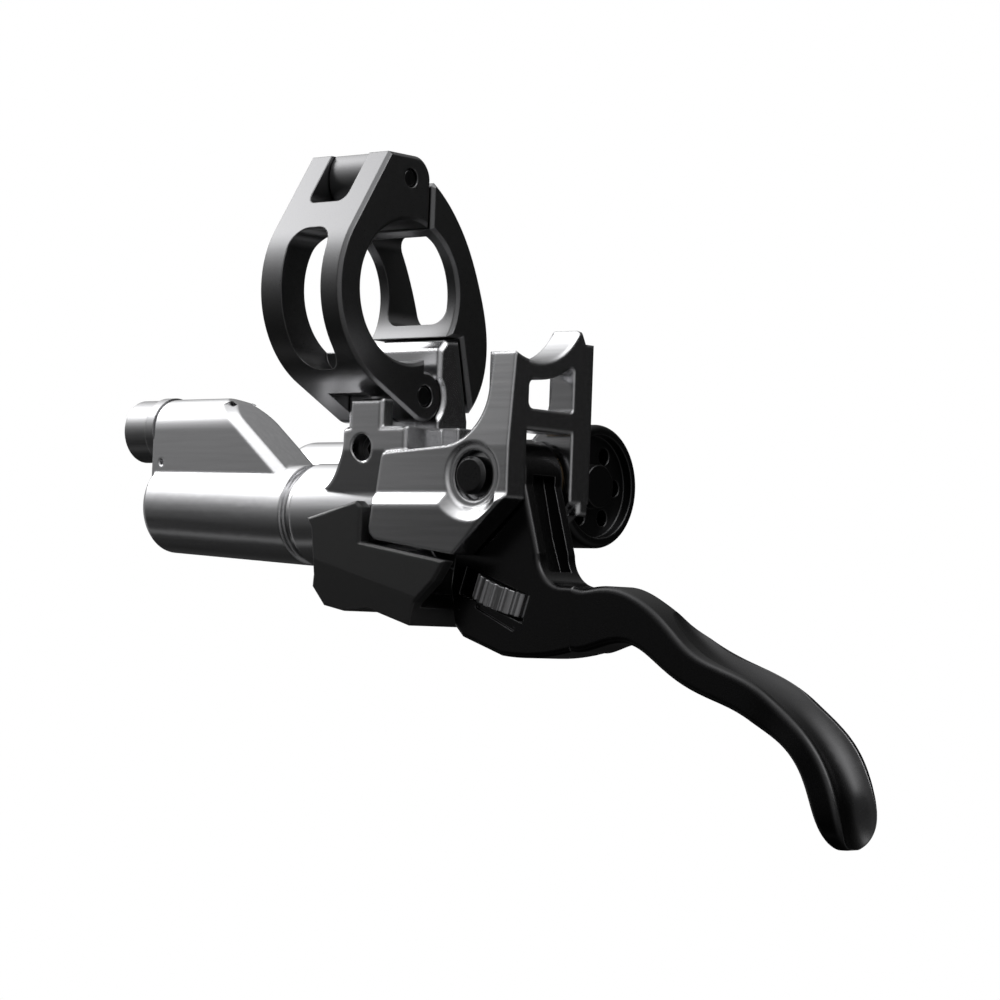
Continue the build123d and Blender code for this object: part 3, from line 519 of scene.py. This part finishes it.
# %% [markdown]
# ## The white room
# The picture has a plain white ground. Strong lamps on a white wall would bleach the lever too, so the
# floor and the backdrop look white only to rays that see them: from the camera, or by way of a
# reflection or through something clear. To the lamps they are plain pale surfaces. Under the lever the
# floor keeps a share of that pale surface in every view, so that the lever's shadow still falls on it.

# %% Floor and backdrop
FLOOR_Z = -0.6
ROOM_RADIUS = 4.0
PALE = 0.85
PATCH_INNER = 0.6
PATCH_OUTER = 1.3
PATCH_SHARE = 0.9


def shadow_patch(wire):
    """The share of white glow on the floor: a little less under the lever, where its shadow falls."""
    place = wire.node("ShaderNodeTexCoord", out="Object")
    away = wire.node("ShaderNodeVectorMath", {"operation": "LENGTH"}, {0: place}, out="Value")
    return wire.node(
        "ShaderNodeMapRange",
        inputs={
            "Value": away,
            "From Min": PATCH_INNER,
            "From Max": PATCH_OUTER,
            "To Min": PATCH_SHARE,
            "To Max": 1.0,
        },
    )


def backdrop_finish(name, share=None):
    """White to the camera and to reflections, but for a share that stays pale, and pale to the lamps."""
    material, wire = start_finish(name)
    camera_ray, glossy_ray, clear_ray = (
        wire.node("ShaderNodeLightPath", out=ray)
        for ray in ("Is Camera Ray", "Is Glossy Ray", "Is Transmission Ray")
    )
    seen = wire.maths("MAXIMUM", wire.maths("MAXIMUM", camera_ray, glossy_ray), clear_ray)
    if share:
        seen = seen * share(wire)
    glow = wire.node("ShaderNodeEmission", inputs={"Color": (1, 1, 1, 1), "Strength": 1.0})
    pale = wire.node("ShaderNodeBsdfDiffuse", inputs={"Color": shade(PALE)})
    mixed = wire.node("ShaderNodeMixShader", inputs={0: seen, 1: pale, 2: glow})
    wire.node("ShaderNodeOutputMaterial", inputs={"Surface": mixed})
    return material


def stage_mesh(name, shape, material):
    """Turns a bmesh into a stage object."""
    mesh = bpy.data.meshes.new(name)
    shape.to_mesh(mesh)
    shape.free()
    mesh.materials.append(material)
    piece = bpy.data.objects.new(name, mesh)
    bpy.context.scene.collection.objects.link(piece)
    return piece


floor = bmesh.new()
bmesh.ops.create_circle(floor, cap_ends=True, segments=64, radius=ROOM_RADIUS)
bmesh.ops.translate(floor, vec=(0, 0, FLOOR_Z), verts=floor.verts)
stage_mesh("floor", floor, backdrop_finish("floor_white", shadow_patch))
dome = bmesh.new()
bmesh.ops.create_uvsphere(dome, u_segments=48, v_segments=24, radius=ROOM_RADIUS)
backdrop = stage_mesh("backdrop", dome, backdrop_finish("backdrop_white"))
backdrop.visible_shadow = False
print("floor at", FLOOR_Z, "m, room radius", ROOM_RADIUS, "m")

# %% [markdown]
# ## The paper sweep
# Polished metal shows what stands round it, so a photographer draws the light on paper. Many small
# lamps could stand in for that, but each would leave its own hard spot on the barrel. Here one tube of
# paper surrounds the lever's long axis, bright overhead and dark in front and below. Its glow changes
# by the angle round the tube and by the place along it. The barrel's side is what the picture's camera
# sees reflected in the barrel. The blade's side draws the glow in the blade's groove and lights the views
# from behind. The camera sees the tube only in reflections.

# %% Brightness of the paper
# By degrees, from the back over the top to the front and underneath, and by metres along X
BARREL_SIDE = {
    "round": (
        (0, 0.007),
        (27, 0.05),
        (57, 0.2),
        (85, 0.45),
        (105, 1.0),
        (118, 0.9),
        (135, 0.32),
        (152, 0.12),
        (170, 0.042),
        (190, 0.015),
        (215, 0.005),
        (236, 0.005),
        (247, 0.027),
        (258, 0.005),
        (300, 0.003),
        (360, 0.007),
    ),
    "along": ((-0.48, 1.0), (-0.42, 0.6), (-0.36, 0.45), (-0.1, 0.3), (0.1, 0.12), (0.3, 0.0)),
}
BLADE_SIDE = {
    "round": (
        (0, 0.002),
        (15, 0.003),
        (35, 0.014),
        (52, 0.05),
        (68, 0.35),
        (82, 0.6),
        (98, 0.45),
        (118, 0.16),
        (145, 0.1),
        (180, 0.06),
        (220, 0.03),
        (300, 0.02),
        (325, 0.025),
        (350, 0.003),
        (360, 0.002),
    ),
    "along": ((-0.1, 0.0), (0.1, 0.2), (0.4, 1.0)),
}
print("stops round the tube:", [len(side["round"]) for side in (BARREL_SIDE, BLADE_SIDE)])

# %% Roll the paper
SWEEP_RADIUS = 0.5
SWEEP_LENGTH = 2.0
PAPER_GLOW = 7.0


def side_glow(wire, turn, share, side):
    """Glow of one side of the paper, from two grey ramps: one round the tube and one along it."""
    round_stops = [(degrees / 360, level) for degrees, level in side["round"]]
    along_stops = [(metres / SWEEP_LENGTH + 0.5, level) for metres, level in side["along"]]
    round_glow = wire.node("ShaderNodeValToRGB", {"stops": round_stops}, {"Fac": turn})
    along_glow = wire.node("ShaderNodeValToRGB", {"stops": along_stops}, {"Fac": share})
    return round_glow * along_glow


def sweep_finish(name, level):
    """Paper that glows by the angle round the lever's long axis and by the place along it."""
    material, wire = start_finish(name)
    place = wire.node("ShaderNodeTexCoord", out="Object")
    along, back, up = (wire.node("ShaderNodeSeparateXYZ", inputs={0: place}, out=axis) for axis in "XYZ")
    turn = wire.maths("FRACT", wire.maths("ARCTAN2", up, back) / math.tau, 0.0)
    share = along / SWEEP_LENGTH + 0.5
    glow = side_glow(wire, turn, share, BARREL_SIDE) + side_glow(wire, turn, share, BLADE_SIDE)
    shader = wire.node("ShaderNodeEmission", inputs={"Color": glow, "Strength": level})
    wire.node("ShaderNodeOutputMaterial", inputs={"Surface": shader})
    return material


def reflections_only(piece):
    """Hides a stage object from the camera and lets the lamp shine through it."""
    piece.visible_camera = False
    piece.visible_shadow = False


middle = (cad_low + cad_high) / 2
tube = bmesh.new()
bmesh.ops.create_cone(tube, segments=96, radius1=SWEEP_RADIUS, radius2=SWEEP_RADIUS, depth=SWEEP_LENGTH)
bmesh.ops.rotate(tube, matrix=Matrix.Rotation(math.pi / 2, 3, "Y"), verts=tube.verts)
paper_sweep = stage_mesh("paper_sweep", tube, sweep_finish("paper_sweep", PAPER_GLOW))
paper_sweep.location = middle
reflections_only(paper_sweep)
print("paper sweep faces:", len(paper_sweep.data.polygons))

# %% [markdown]
# ## End cards
# Faces that look along the lever would see the bright room through the tube's open ends and glare. A cap
# on the tube would share its ramps, so two plain grey cards close the ends instead. In the picture these
# faces stay deep, and from either end of the lever they still show their form.

# %% Close the ends
CARD_GLOW = 0.3


def card_finish(name, level):
    """A card that glows faintly in reflections."""
    material, wire = start_finish(name)
    glow = wire.node("ShaderNodeEmission", inputs={"Color": (1, 1, 1, 1), "Strength": level})
    wire.node("ShaderNodeOutputMaterial", inputs={"Surface": glow})
    return material


def stand_card(name, place, facing, width, level):
    """A square card at place whose face looks along facing."""
    shape = bmesh.new()
    turn = facing.to_track_quat("Z", "Y").to_matrix().to_4x4()
    bmesh.ops.create_grid(shape, x_segments=1, y_segments=1, size=width / 2)
    bmesh.ops.transform(shape, matrix=Matrix.Translation(place) @ turn, verts=shape.verts)
    card = stage_mesh(name, shape, card_finish(name, level))
    reflections_only(card)
    print(name, "at x", round(place.x, 3), "m")


for name, side in (("card_left", -1), ("card_right", 1)):
    towards = Vector((side, 0, 0))
    stand_card(name, middle + towards * SWEEP_LENGTH / 2, -towards, 2 * SWEEP_RADIUS, CARD_GLOW)

# %% [markdown]
# ## The softbox
# Matt plastic and rubber show little of the paper: they need a lamp. A point lamp would give hard shadows,
# so one large softbox hangs above the barrel. It isn't seen in reflections, because the paper already
# draws them. Its power follows from how bright its face should look, so it can be resized without a change
# of that brightness.

# %% Hang the softbox
KEY_DIRECTION = Vector((-0.64, 0.05, 0.76))
KEY_DISTANCE = 0.7
KEY_WIDTH = 0.85
KEY_HEIGHT = 0.42
KEY_RADIANCE = 8.5
AIR_GREY = 0.05

lamp = bpy.data.lights.new("key_softbox", "AREA")
lamp.shape = "RECTANGLE"
lamp.size = KEY_WIDTH
lamp.size_y = KEY_HEIGHT
lamp.energy = KEY_RADIANCE * math.pi * KEY_WIDTH * KEY_HEIGHT
key_softbox = bpy.data.objects.new("key_softbox", lamp)
bpy.context.scene.collection.objects.link(key_softbox)
key_softbox.location = middle + KEY_DIRECTION * KEY_DISTANCE
key_softbox.rotation_euler = (-KEY_DIRECTION).to_track_quat("-Z", "Y").to_euler()
key_softbox.visible_glossy = False
world = bpy.data.worlds.new("studio_air")
bpy.context.scene.world = world
world.use_nodes = True
world.node_tree.nodes["Background"].inputs["Color"].default_value = shade(AIR_GREY)
print("softbox power:", round(lamp.energy, 2), "W")

# %% [markdown]
# ## Size
# The finishes don't change the lever's size.
